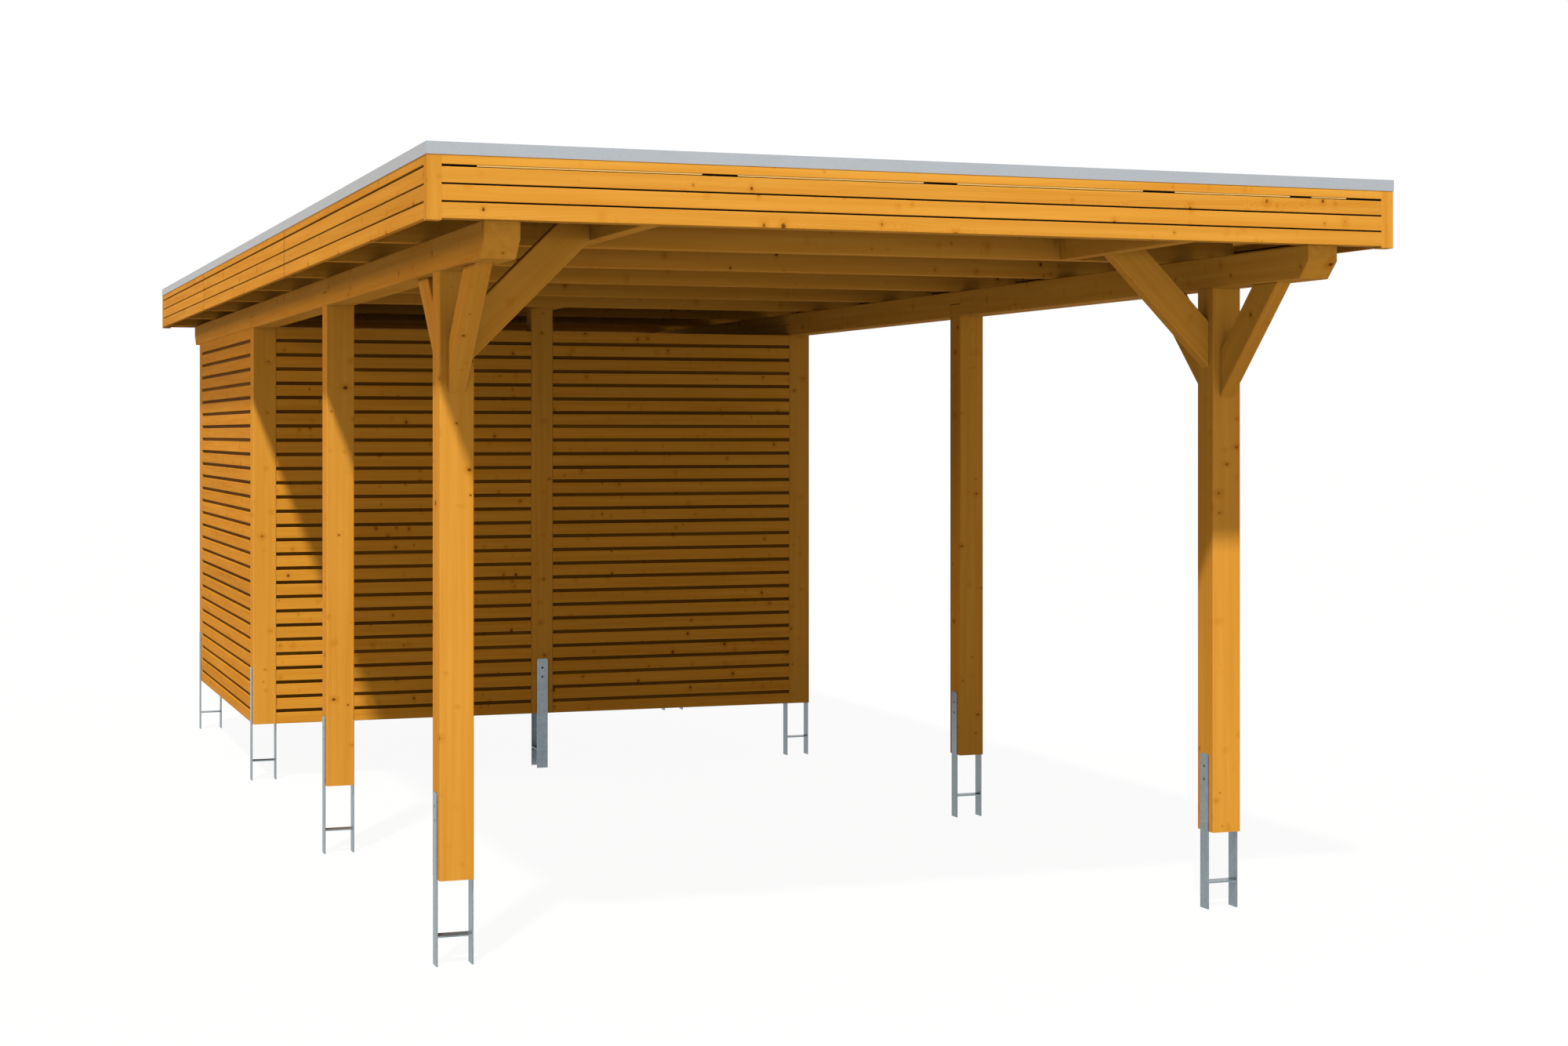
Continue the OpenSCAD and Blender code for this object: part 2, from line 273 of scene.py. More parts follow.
knot_space = put(spruce, "VectorMath", {"operation": "MULTIPLY"}, given["Grain"],
                 (KNOT_FLATNESS, 1.0, 1.0))
knots = put(spruce, "TexVoronoi", {}, Vector=knot_space.outputs[0], Scale=KNOTS_PER_METRE)
knot_draw = put(spruce, "SeparateColor", {}, knots.outputs["Color"]).outputs
knot_size = work(spruce, "MULTIPLY", knot_draw[0], knot_draw[0])
knot_radius = work(spruce, "MULTIPLY_ADD", knot_size, KNOT_SPREAD, KNOT_SMALLEST)
knot_away = work(spruce, "DIVIDE", knots.outputs["Distance"], KNOTS_PER_METRE)
knot_ratio = work(spruce, "DIVIDE", knot_away, knot_radius)
knot_there = work(spruce, "GREATER_THAN", knot_draw[1], KNOTS_LEFT_OUT)
knot_depth = work(spruce, "MULTIPLY_ADD", knot_draw[2], 1.0 - KNOT_FAINTEST, KNOT_FAINTEST)
knot_strength = work(spruce, "MULTIPLY", knot_there, knot_depth)
knot_dark = work(spruce, "MULTIPLY", fade(spruce, knot_ratio, *CORE_LIMITS), knot_strength)
knot_rim = work(spruce, "MULTIPLY", fade(spruce, knot_ratio, *RIM_LIMITS), knot_there)
knot_push = work(spruce, "MULTIPLY", fade(spruce, knot_ratio, *PUSH_LIMITS), knot_there)
print("knots are", KNOT_SMALLEST, "to", KNOT_SMALLEST + KNOT_SPREAD, "m in radius")

# %% [markdown]
# The rings are a wave over the distance from the heart. They wander along the trunk, bulge round
# each knot and fade out in places. Streaks of stain and fine fibres lie over them. All of these are
# noises that are drawn out along the grain, each given by its waves a metre along and across the
# grain and by its detail.

# %% Rings, streaks and fibres
WANDER_NOISE = (0.9, 7.0, 2.0)
RING_SHOW_NOISE = (0.8, 9.0, 1.0)
STREAK_NOISE = (1.3, 42.0, 4.0)
FIBRE_NOISE = (16.0, 600.0, 2.0)
NOISE_MIDDLE = 0.5
RING_WANDER = 0.05
RING_PUSH = 1.4
RING_SHOW_LIMITS = (0.42, 0.68)


def drawn_out(tree, vector, along, across, detail):
    """Noise that is stretched along the grain, from its frequencies along and across."""
    scaled = put(tree, "VectorMath", {"operation": "MULTIPLY"}, vector, (along, across, across))
    return put(tree, "TexNoise", {}, Vector=scaled.outputs[0], Scale=1.0, Detail=detail).outputs[0]


across = put(spruce, "VectorMath", {"operation": "MULTIPLY"}, given["Grain"], (0.0, 1.0, 1.0))
heart_away = put(spruce, "VectorMath", {"operation": "LENGTH"}, across.outputs[0]).outputs[1]
wander = work(spruce, "SUBTRACT", drawn_out(spruce, given["Grain"], *WANDER_NOISE), NOISE_MIDDLE)
wandered = work(spruce, "MULTIPLY_ADD", wander, RING_WANDER, heart_away)
bulge = work(spruce, "MULTIPLY", knot_radius, RING_PUSH)
ring_run = work(spruce, "MULTIPLY_ADD", knot_push, bulge, wandered)
ring_count = work(spruce, "DIVIDE", ring_run, given["Ring Width"])
ring_turn = work(spruce, "MULTIPLY", ring_count, 2.0 * math.pi)
late_wood = work(spruce, "MULTIPLY_ADD", work(spruce, "SINE", ring_turn), 0.5, 0.5)
ring_show = fade(spruce, drawn_out(spruce, given["Grain"], *RING_SHOW_NOISE), *RING_SHOW_LIMITS)
late_wood = work(spruce, "MULTIPLY", late_wood, ring_show)
streak = work(spruce, "SUBTRACT", drawn_out(spruce, given["Grain"], *STREAK_NOISE), NOISE_MIDDLE)
fibre = work(spruce, "SUBTRACT", drawn_out(spruce, given["Grain"], *FIBRE_NOISE), NOISE_MIDDLE)
print("fibres are", round(1000.0 / FIBRE_NOISE[1], 2), "mm wide")

# %% [markdown]
# Rings, streaks, fibres and the rims of knots are added up to one darkness, which mixes the pale and
# the dark stain. The knots' cores lie over that, and the timber's tone, which also holds painted
# shade for grooves, laps and backs, makes all of it lighter or darker. Fibres also make the surface
# rougher and raise it a little.

# %% Colour, roughness and height of the grain
PLAIN_DARKNESS = 0.24
RING_DARKNESS = 0.22
FIBRE_DARKNESS = 0.22
RIM_DARKNESS = 0.35
TONE_STEP = 0.06
PLAIN_ROUGHNESS = 0.72
FIBRE_ROUGHNESS = 0.25
FIBRE_HEIGHT = 0.6

darkness = work(spruce, "MULTIPLY_ADD", late_wood, RING_DARKNESS, PLAIN_DARKNESS)
darkness = work(spruce, "MULTIPLY_ADD", streak, given["Streaks"], darkness)
darkness = work(spruce, "MULTIPLY_ADD", fibre, FIBRE_DARKNESS, darkness)
darkness = work(spruce, "MULTIPLY_ADD", knot_rim, RIM_DARKNESS, darkness)
wood = mixed(spruce, darkness, given["Pale Wood"], given["Dark Wood"])
wood = mixed(spruce, knot_dark, wood, given["Knot Wood"])
brightness = work(spruce, "MULTIPLY_ADD", given["Tone"], TONE_STEP, 1.0)
toned = put(spruce, "VectorMath", {"operation": "SCALE"}, wood, Scale=brightness)
fill(spruce, result["Color"], toned.outputs[0])
fill(spruce, result["Roughness"], work(spruce, "MULTIPLY_ADD", fibre, FIBRE_ROUGHNESS, PLAIN_ROUGHNESS))
fill(spruce, result["Height"], work(spruce, "MULTIPLY_ADD", fibre, FIBRE_HEIGHT, darkness))
print("spruce_grain has", len(spruce.nodes), "nodes")

# %% [markdown]
# One stain is on all the timber, but each kind of piece takes it a little differently. The posts
# and rafters are planed and even, the thin boards vary more from one to the next, and the deck
# under the roof is darker, as painted shade. The group is therefore placed in each material with its
# own values.
# Light that goes from timber to timber would turn redder at each step and make the shade glow, so
# Light Path gives those rays a greyer tone than the one that is seen.

# %% Timber materials
TIMBER_GLOSS = 0.02
GRAIN_DEPTH = 0.0005
GRAIN_RELIEF = 0.35
KNOT_BROWN = shade(112, 62, 18)
BOUNCE_TONE = shade(122, 104, 80)
FRAME_STAIN = (shade(232, 165, 65), shade(207, 130, 31))
BOARD_STAIN = (shade(231, 160, 55), shade(205, 127, 29))
# The deck's darker colours are painted shade for the deep shade under the roof.
DECK_PAINTED_SHADE = (shade(168, 124, 62), shade(140, 98, 42))
# The lath's pale colour is a painted highlight.
LATH_PAINTED_HIGHLIGHT = (shade(238, 192, 118), shade(226, 174, 94))


def timber_material(name, pale, dark, streaks, ring_width=0.006, place=None, tone=0.0):
    """Stained spruce; the grain follows the piece's own coordinates, or a turned and moved place."""
    material, tree, shader = new_material(name)
    grain = put(tree, "Group", {"node_tree": spruce})
    if place is None:
        along = put(tree, "Attribute", {"attribute_name": "grain"}).outputs["Vector"]
        tone = put(tree, "Attribute", {"attribute_name": "tone"}).outputs["Fac"]
    else:
        turn, shift = place
        whole = put(tree, "TexCoord", {}).outputs["Object"]
        along = put(tree, "Mapping", {}, whole, shift, turn).outputs[0]
    choices = (along, tone, pale, dark, KNOT_BROWN, ring_width, streaks)
    for socket, value in zip(grain.inputs, choices):
        fill(tree, socket, value)
    relief = put(tree, "Bump", {}, Strength=GRAIN_RELIEF, Distance=GRAIN_DEPTH,
                 Height=grain.outputs["Height"])
    shader.inputs["Specular IOR Level"].default_value = TIMBER_GLOSS
    bounced = put(tree, "LightPath", {}).outputs["Is Diffuse Ray"]
    stained = mixed(tree, bounced, grain.outputs["Color"], BOUNCE_TONE)
    tree.links.new(stained, shader.inputs["Base Color"])
    tree.links.new(grain.outputs["Roughness"], shader.inputs["Roughness"])
    tree.links.new(relief.outputs[0], shader.inputs["Normal"])
    return material


frame_timber = timber_material("frame_timber", *FRAME_STAIN, streaks=1.1)
wall_boards = timber_material("wall_boards", *BOARD_STAIN, streaks=1.2, ring_width=0.005)
fascia_boards = timber_material("fascia_boards", *FRAME_STAIN, streaks=1.3, ring_width=0.005)
deck_boards = timber_material("deck_boards", *DECK_PAINTED_SHADE, streaks=1.0, ring_width=0.005)
lath_painted_highlight = timber_material("lath_painted_highlight", *LATH_PAINTED_HIGHLIGHT, streaks=0.8, ring_width=0.004)
timber_finishes = (frame_timber, wall_boards, fascia_boards, deck_boards, lath_painted_highlight)
print("timber materials", [finish.name for finish in timber_finishes])

# %% [markdown]
# The posts keep their solids, which already have eased edges and the bolt holes. Only their grain
# is missing. Each gets the stain with a Mapping node that lays the grain upright, sets the heart
# of the tree off the post's own middle, and moves it along so that no two posts look alike.

# %% Posts
random = np.random.default_rng(11)
UPRIGHT = Matrix(((0, 0, 1), (1, 0, 0), (0, 1, 0))).to_euler()
HEART_AWAY = (0.05, 0.11)
TRUNK_RUN = 40.0
POST_TONES = 0.4


def heart_offset():
    """A draw of how far along the trunk a timber was cut and where the heart lies from its middle."""
    angle = random.uniform(0.0, 2.0 * math.pi)
    away = random.uniform(*HEART_AWAY)
    return np.array([random.uniform(0.0, TRUNK_RUN), away * math.cos(angle), away * math.sin(angle)])


def refinish(node, material):
    """Gives a CAD node that stays its material."""
    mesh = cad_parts[node].data
    mesh.materials.clear()
    mesh.materials.append(material)


post_names = [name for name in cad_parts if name.endswith("_post")]
for name in post_names:
    low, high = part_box(name)
    middle = (low + high) / 2
    shift = heart_offset() - np.array([0.0, middle.x, middle.y])
    stain = timber_material("timber_" + name, *FRAME_STAIN, streaks=0.9,
                            place=(UPRIGHT, shift.tolist()), tone=random.normal(0.0, POST_TONES))
    refinish(name, stain)
print(len(post_names), "posts stained")

# %% [markdown]
# Every sawn piece is an outline carried along a straight line. The corners of the outline are
# rounded first, because planed timber has no knife edges, and both ends are drawn in a little.
# Bevel modifiers could do this, but plain arrays keep the piece light and its grain exact.

# %% Rounded outlines
ROUND_STEPS = 4
BEVEL_STEPS = 2


def soften(points, radius, steps=ROUND_STEPS):
    """Rounds a closed outline. From one radius before a corner C to one radius after it, A to B, runs
    the curve (1-t)^2 A + 2t(1-t) C + t^2 B, for all corners and all t at once."""
    points = np.asarray(points, float)
    back = np.roll(points, 1, axis=0) - points
    ahead = np.roll(points, -1, axis=0) - points
    radius = np.broadcast_to(radius, len(points))[:, None]
    before = points + radius * back / np.linalg.norm(back, axis=1, keepdims=True)
    after = points + radius * ahead / np.linalg.norm(ahead, axis=1, keepdims=True)
    t = np.linspace(0.0, 1.0, steps)[None, :, None]
    curve = (1 - t) ** 2 * before[:, None] + 2 * t * (1 - t) * points[:, None] + t ** 2 * after[:, None]
    return curve.reshape(-1, 2)


def draw_in(outline, depth):
    """Moves each side of a counter-clockwise outline inwards: a corner goes along the sum of its two
    sides' inward directions, divided by one plus their product."""
    side = np.roll(outline, -1, axis=0) - outline
    inward = np.stack([-side[:, 1], side[:, 0]], axis=1) / np.linalg.norm(side, axis=1, keepdims=True)
    earlier = np.roll(inward, 1, axis=0)
    share = 1.0 + np.sum(inward * earlier, axis=1, keepdims=True)
    return outline + depth * (inward + earlier) / share


print("one softened square has", len(soften([(0, 0), (1, 0), (1, 1), (0, 1)], 0.1)), "points")

# %% [markdown]
# A piece needs only four stations along its run, because it is straight: the end, the full outline
# close to it, and the same at the far end. Its grain and its tone are kept as attributes of the mesh,
# where the material reads them. Pieces of one kind are joined to one mesh, which stands for their
# solid where there is one.

# %% Sawn pieces
X, Y, Z = np.eye(3)
STATIONS = 4
PLANED_EASE = 0.0015
TONE_SPREAD = 0.55


def timber(outline, start, axes, length, ease=PLANED_EASE, fibre_run=(0.0, 0.0, 1.0), stain=0.0,
           run_in=None):
    """One sawn piece. Its surface is the outline (first parameter) at four stations (second parameter)
    along the third of the axes: drawn in by the ease, full, full, drawn in. The run-in is the way from
    an end to its full outline, if that is not the ease. Grain coordinates are measured along the fibre
    run and across it from the piece's middle, and moved by the draw of its tree. The stain, by which
    the piece is lighter or darker, is one value, or differs by station, by point of the outline or both."""
    axes = np.asarray(axes, float)
    small = draw_in(outline, ease)
    rings = np.stack([small, outline, outline, small])
    run_in = run_in or ease
    stations = np.array([0.0, run_in, length - run_in, length])
    count = len(outline)
    local = np.column_stack([rings.reshape(-1, 2), np.repeat(stations, count)])
    index = np.arange(STATIONS * count).reshape(STATIONS, count)
    after = np.roll(index, -1, axis=1)
    quads = np.stack([index[:-1], after[:-1], after[1:], index[1:]], axis=-1).reshape(-1, 4)
    run = np.asarray(fibre_run, float)
    thick = Z if run[2] == 0.0 else X
    grain = local @ np.stack([run, np.cross(thick, run), thick], axis=1)
    grain += heart_offset() - (grain.min(axis=0) + grain.max(axis=0)) / 2
    # The stain adds to the tone; for wall boards and purlin laps it is painted shade.
    return {"places": np.asarray(start) + local @ axes, "quads": quads,
            "ends": [index[0][::-1], index[-1]], "grain": grain,
            "tone": np.broadcast_to(stain, (STATIONS, count)).ravel() + random.normal(0.0, TONE_SPREAD)}


def join_timbers(name, timbers, material, slot, *nodes):
    """Joins sawn pieces into one mesh with its grain and tone, and lets it stand for the CAD nodes."""
    first = np.cumsum([0] + [len(t["places"]) for t in timbers])
    faces = []
    for t, offset in zip(timbers, first):
        faces += (t["quads"] + offset).tolist() + [(end + offset).tolist() for end in t["ends"]]
    mesh = bpy.data.meshes.new(name)
    mesh.from_pydata(np.concatenate([t["places"] for t in timbers]).tolist(), [], faces)
    grain = mesh.attributes.new("grain", "FLOAT_VECTOR", "POINT")
    grain.data.foreach_set("vector", np.concatenate([t["grain"] for t in timbers]).ravel())
    tone = mesh.attributes.new("tone", "FLOAT", "POINT")
    tone.data.foreach_set("value", np.concatenate([t["tone"] for t in timbers]))
    mesh.materials.append(material)
    piece = bpy.data.objects.new(name, mesh)
    scene.collection.objects.link(piece)
    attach(piece, "root")
    if nodes:
        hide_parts(*nodes)


print("a sawn piece has", STATIONS, "stations, and its ends are eased by", PLANED_EASE, "m")

# %% [markdown]
# Sizes are read back from the solids. Nearly all faces of this frame lie along the axes, so the
# distinct vertex levels of a node along one axis give the near and far sides of each timber in it.

# %% Measuring the solids
LEVEL_DIGITS = 5


def corners(node):
    """All vertex places of a CAD node, one row each."""
    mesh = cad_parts[node].data
    places = np.empty(3 * len(mesh.vertices))
    mesh.vertices.foreach_get("co", places)
    return places.reshape(-1, 3)


def levels(node, axis):
    """The distinct levels of a node's vertices along one axis, lowest first."""
    return np.unique(corners(node)[:, axis].round(LEVEL_DIGITS))


def rectangle(first_low, first_high, second_low, second_high):
    """Four corners, counter-clockwise."""
    return [(first_low, second_low), (first_high, second_low),
            (first_high, second_high), (first_low, second_high)]


print("rafters stand at", levels("rafters", 1)[::2].round(3).tolist())

# %% [markdown]
# The purlins carry the rafters on the post heads. Each line is three timbers, half-lapped over the
# second and third posts, with sloped free ends. The outline of a timber is its side view, carried
# across its width, so the laps meet along fine grooves as they do in real joinery. The points of a
# lap are darkened below the face as painted shade in the grooves, with a clean point close to each
# end. A side view is given by its four levels a to d from front to rear and its three levels of height.

# %% Purlins
EASED = 0.003
# Painted shade along the grooves of the laps.
LAP_PAINTED_SHADE = -13.0
LAP_FADE = 0.008
purlin_shapes = {
    "front": lambda a, b, c, d, low, mid, top: [
        (b, low), (d - LAP_FADE, low), (d, low), (d, mid), (c, mid), (c, top), (c - LAP_FADE, top),
        (a, top), (a, mid)],
    "middle": lambda a, b, c, d, low, mid, top: [
        (b, low), (b + LAP_FADE, low), (d - LAP_FADE, low), (d, low), (d, mid), (c, mid), (c, top),
        (c - LAP_FADE, top), (a + LAP_FADE, top), (a, top), (a, mid), (b, mid)],
    "rear": lambda a, b, c, d, low, mid, top: [
        (b, low), (b + LAP_FADE, low), (c, low), (d, mid), (d, top), (a + LAP_FADE, top), (a, top),
        (a, mid), (b, mid)]}
lap_points = {"front": [2, 3, 4, 5], "middle": [0, 3, 4, 5, 6, 9, 10, 11], "rear": [0, 6, 7, 8]}
for side in ("left", "right"):
    for place, shape in purlin_shapes.items():
        node = f"{side}_{place}_purlin"
        side_view = np.array(shape(*levels(node, 1), *levels(node, 2)))
        lap_painted_shade = np.zeros((STATIONS, len(side_view)))
        lap_painted_shade[1:-1, lap_points[place]] = LAP_PAINTED_SHADE
        low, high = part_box(node)
        beam = timber(side_view, (low.x, 0, 0), (Y, Z, X), high.x - low.x, EASED,
                      fibre_run=(1.0, 0.0, 0.0), stain=lap_painted_shade)
        join_timbers("timber_" + node, [beam], frame_timber, "frame_timber", node)
print("purlins run from", levels("left_front_purlin", 1)[0], "to", levels("left_rear_purlin", 1)[-1])

# %% [markdown]
# Nine rafters lie across the purlins, with short blockings between them: over the heads of the
# inward braces and over the middle posts of the store room. All are plain planed bars.

# %% Rafters and blockings
rafter_low, rafter_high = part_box("rafters")
rafters = []
for near, far in levels("rafters", 1).reshape(-1, 2):
    section = soften(rectangle(near, far, rafter_low.z, rafter_high.z), EASED)
    rafters.append(timber(section, (rafter_low.x, 0, 0), (Y, Z, X), rafter_high.x - rafter_low.x))
join_timbers("rafter_bars", rafters, frame_timber, "frame_timber", "rafters")

for node in ("brace_blockings", "post_blockings"):
    bottom, top = levels(node, 2)[[0, -1]]
    bars = []
    for left, right in levels(node, 0).reshape(-1, 2):
        for near, far in levels(node, 1).reshape(-1, 2):
            section = soften(rectangle(bottom, top, left, right), EASED)
            bars.append(timber(section, (0, near, 0), (Z, X, Y), far - near))
    join_timbers(node + "_bars", bars, frame_timber, "frame_timber", node)
print(len(rafters), "rafters")

# %% [markdown]
# Three braces stiffen each front post: forward and rearward under the purlin, and inward under a
# blocking. A brace is a flat slab with both ends cut to lie against what it meets. Its outline is
# convex, so its corners are found in the solid and put in order by their angle round the middle.

# %% Braces
TOUCHING = 1e-4


def brace(points, flat, across):
    """A slab from a solid's corners: the outline lies in the two flat axes, and is carried across."""
    outline = np.unique(points[:, flat].round(LEVEL_DIGITS), axis=0)
    from_middle = outline - outline.mean(axis=0)
    outline = outline[np.argsort(np.arctan2(from_middle[:, 1], from_middle[:, 0]))]
    sides = np.roll(outline, -1, axis=0) - outline
    longest = sides[np.argmax(np.linalg.norm(sides, axis=1))]
    run = np.append(longest / np.linalg.norm(longest), 0.0)
    axes = np.eye(3)[[*flat, across]]
    start = axes[2] * points[:, across].min()
    if np.linalg.det(axes) < 0:
        axes[2] = -axes[2]
        start = -axes[2] * points[:, across].max()
    return timber(outline, start, axes, np.ptp(points[:, across]), EASED, run)


for side in ("left", "right"):
    post_low, post_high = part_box(f"front_{side}_post")
    spots = corners(side + "_braces")
    ahead = spots[:, 1] < post_low.y + TOUCHING
    behind = spots[:, 1] > post_high.y - TOUCHING
    slabs = [brace(spots[ahead], [1, 2], 0), brace(spots[behind], [1, 2], 0),
             brace(spots[~ahead & ~behind], [0, 2], 1)]
    join_timbers(side + "_brace_slabs", slabs, frame_timber, "frame_timber", side + "_braces")
    print(side, "brace reach", round(post_low.y - spots[:, 1].min(), 3))

# %% [markdown]
# The store room is closed by level boards between the posts. Each board has a face with rounded
# edges and a set-back strip above it, on which the next board sits, so a groove shows between faces,
# darkened as painted shade. One solid holds all boards of a panel; here each is a board of its own,
# with its own tree. The backs are darkened as painted shade, so the inside of the room is darker.
# Walls and fascia face four ways along the axes, and the sum of such a direction's numbers is its sign.

# %% Store room walls
BOARD_ROUND = 0.0025
BACK_ROUND = 0.0005
BOARD_EASE = 0.0005
# Painted shade in the grooves between the boards.
GROOVE_PAINTED_SHADE = -12.0
# Painted shade on the backs of the boards, for the dark inside of the store room.
BACK_PAINTED_SHADE = -7.0
INWARD = {"front": Y, "rear": -Y, "left": X, "right": -X}


def facing(node, inward):
    """The start and length of a level run along a node's outer face, and its axes: inward, up, along."""
    low, high = (np.array(corner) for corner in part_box(node))
    along = np.cross(inward, Z)
    middle = (low + high) / 2
    half = (high - low) / 2
    start = middle - (inward + along) * half
    start[2] = 0.0
    return start, (inward, Z, along), 2.0 * np.abs(along) @ half


for place in ("front_left", "front_right", "left", "right", "rear_left", "rear_right"):
    node = f"store_{place}_wall"
    inward = INWARD[place.split("_")[0]]
    start, axes, length = facing(node, inward)
    depths = levels(node, int(np.argmax(np.abs(inward))))
    thick = depths[-1] - depths[0]
    setback = np.abs(depths[1] - inward @ start * inward.sum())
    heights = levels(node, 2)
    boards = []
    for low, face_top, seat in zip(heights[0::2], heights[1::2], [*heights[2::2], heights[-1]]):
        section = rectangle(0, thick, low, face_top)
        rounds = [BOARD_ROUND, BACK_ROUND, BACK_ROUND, BOARD_ROUND]
        if seat > face_top:
            section[2:] = [(thick, seat), (setback, seat), (setback, face_top), (0, face_top)]
            rounds[2:] = [BACK_ROUND, BACK_ROUND, BACK_ROUND, BOARD_ROUND]
        outline = soften(section, rounds)
        in_groove = (outline[:, 0] > setback - BACK_ROUND) & (outline[:, 1] > face_top - BACK_ROUND)
        at_back = outline[:, 0] > thick - 2.0 * BACK_ROUND
        # Painted shade: the grooves and the backs of the boards are made darker.
        board_painted_shade = np.where(at_back, BACK_PAINTED_SHADE, GROOVE_PAINTED_SHADE * in_groove)
        boards.append(timber(outline, start, axes, length, BOARD_EASE, stain=board_painted_shade))
    join_timbers(f"boards_{place}", boards, wall_boards, "wall_boards", node)
print(len(boards), "boards a panel,", round(thick * 1000, 1), "mm thick")

# %% [markdown]
# Four courses of thin boards hide the edge of the roof, with narrow gaps between them, and a square
# batten closes each corner. The long sides are boarded in three lengths with a fine joint. End grain
# drinks more stain than the face, so the boards darken over a short way towards each joint.

# %% Fascia boards and corner battens
BATTEN_ROUND = 0.0012
FASCIA_ROUND = 0.0015
FASCIA_EASE = 0.0004
END_STAIN = -11.0
END_RUN = 0.012

for place, inward in INWARD.items():
    node = place + "_fascia"
    start, axes, length = facing(node, inward)
    along = axes[2]
    runs = np.sort(levels(node, int(np.argmax(np.abs(along)))) * along.sum()).reshape(-1, 2)
    thick = np.ptp(corners(node) @ inward)
    boards = []
    for low, high in levels(node, 2).reshape(-1, 2):
        section = soften(rectangle(0, thick, low, high), FASCIA_ROUND)
        for near, far in runs:
            board_start = start + along * (near - along @ start)
            end_stain = END_STAIN * np.array([[near > runs[0, 0]], [0], [0], [far < runs[-1, 1]]])
            boards.append(timber(section, board_start, axes, far - near, FASCIA_EASE,
                                 stain=end_stain, run_in=END_RUN))
    join_timbers(place + "_fascia_boards", boards, fascia_boards, "fascia_boards", node)
    print(place, "fascia of", len(boards), "boards,", round(length, 3), "m long")

bottom, top = levels("corner_battens", 2)
battens = []
for left, right in levels("corner_battens", 0).reshape(-1, 2):
    for near, far in levels("corner_battens", 1).reshape(-1, 2):
        section = soften(rectangle(left, right, near, far), BATTEN_ROUND)
        battens.append(timber(section, (0, 0, bottom), (X, Y, Z), top - bottom))
join_timbers("corner_batten_bars", battens, fascia_boards, "fascia_boards", "corner_battens")
print(len(battens), "corner battens")

# %% [markdown]
# A black tape closes each open joint half way through the boards. It is painted shade: the gaps read
# as dark lines from both sides and no light falls through. It is a thin strip that reaches a hair into
# the boards above and below, with a fine weave in its material.

# %% Joint tape
TAPE_THICK = 0.0006
TAPE_EASE = TAPE_THICK / 4
TAPE_COVER = 0.0003
# The tape's black and grey are painted shade in the gaps of the fascia.
TAPE_SHADE_BLACK = shade(8, 7, 6)
TAPE_SHADE_GREY = shade(26, 23, 20)
TAPE_ROUGHNESS = 0.75
WEAVE_ROUGHNESS = 0.2
WEAVE_SCALE = 900.0
WEAVE_DETAIL = 2.0

painted_shade_tape, tree, shader = new_material("painted_shade_tape")
whole = put(tree, "TexCoord", {}).outputs["Object"]
weave = put(tree, "TexNoise", {}, Vector=whole, Scale=WEAVE_SCALE, Detail=WEAVE_DETAIL).outputs[0]
tape_rough = work(tree, "MULTIPLY_ADD", weave, WEAVE_ROUGHNESS, TAPE_ROUGHNESS)
tree.links.new(mixed(tree, weave, TAPE_SHADE_BLACK, TAPE_SHADE_GREY), shader.inputs["Base Color"])
tree.links.new(tape_rough, shader.inputs["Roughness"])
shader.inputs["Specular IOR Level"].default_value = TIMBER_GLOSS
strips = []
for place, inward in INWARD.items():
    node = place + "_fascia"
    start, axes, length = facing(node, inward)
    half_way = np.ptp(corners(node) @ inward) / 2
    for gap_low, gap_high in levels(node, 2)[1:-1].reshape(-1, 2):
        section = rectangle(half_way, half_way + TAPE_THICK, gap_low - TAPE_COVER, gap_high + TAPE_COVER)
        strips.append(timber(np.array(section), start, axes, length, TAPE_EASE))
join_timbers("painted_shade_tapes", strips, painted_shade_tape, "fascia_boards")
print(len(strips), "strips in the gaps")

# %% [markdown]
# Behind the fascia short battens hold the boards. They show only from below and inside the roof's
# edge, so the solids stay, stained like the posts with upright grain.

# %% Fascia battens
BATTEN_HEART = (3.0, 0.05, 0.04)
batten_stain = timber_material("batten_timber", *FRAME_STAIN, streaks=1.0,
                               place=(UPRIGHT, BATTEN_HEART))
refinish("fascia_battens", batten_stain)
print("batten levels", levels("fascia_battens", 2).tolist())

# %% [markdown]
# The roof deck is boarded lengthwise. Where a board would meet a fascia batten at the front or rear
# it is cut short, and elsewhere it reaches the fascia. Boards between two such places share the
# width evenly. Their lower edges are bevelled, so the ceiling shows lines.

# %% Roof deck
BOARDS_BETWEEN = 6
DECK_BEVEL = 0.004
DECK_EASE = 0.0005
deck_x = levels("roof_deck", 0)
deck_y = levels("roof_deck", 1)
deck_z = levels("roof_deck", 2)
planks = []
for number, (left, right) in enumerate(zip(deck_x[:-1], deck_x[1:])):
    cut_short = number % 2 == 0
    near, far = (deck_y[1], deck_y[-2]) if cut_short else (deck_y[0], deck_y[-1])
    edges = np.linspace(left, right, 2 if cut_short else BOARDS_BETWEEN + 1)
    for plank_left, plank_right in zip(edges[:-1], edges[1:]):
        section = soften(rectangle(deck_z[0], deck_z[-1], plank_left, plank_right),
                         [DECK_BEVEL, DECK_EASE, DECK_EASE, DECK_BEVEL], BEVEL_STEPS)
        planks.append(timber(section, (0, near, 0), (Z, X, Y), far - near, DECK_EASE))
join_timbers("deck_planks", planks, deck_boards, "frame_timber", "roof_deck")
print(len(planks), "deck planks")

# %% [markdown]
# In the topmost gap of the front a pale lath shows, with a few short openings that stay dark, most
# of them over a batten. The lath is a real piece, and its pale colour is a painted highlight. The
# laths are cut by hand, so the openings differ a little. Each lath hangs from the top board and
# leaves a fine dark line of painted shade below it. The rear is made like the front.

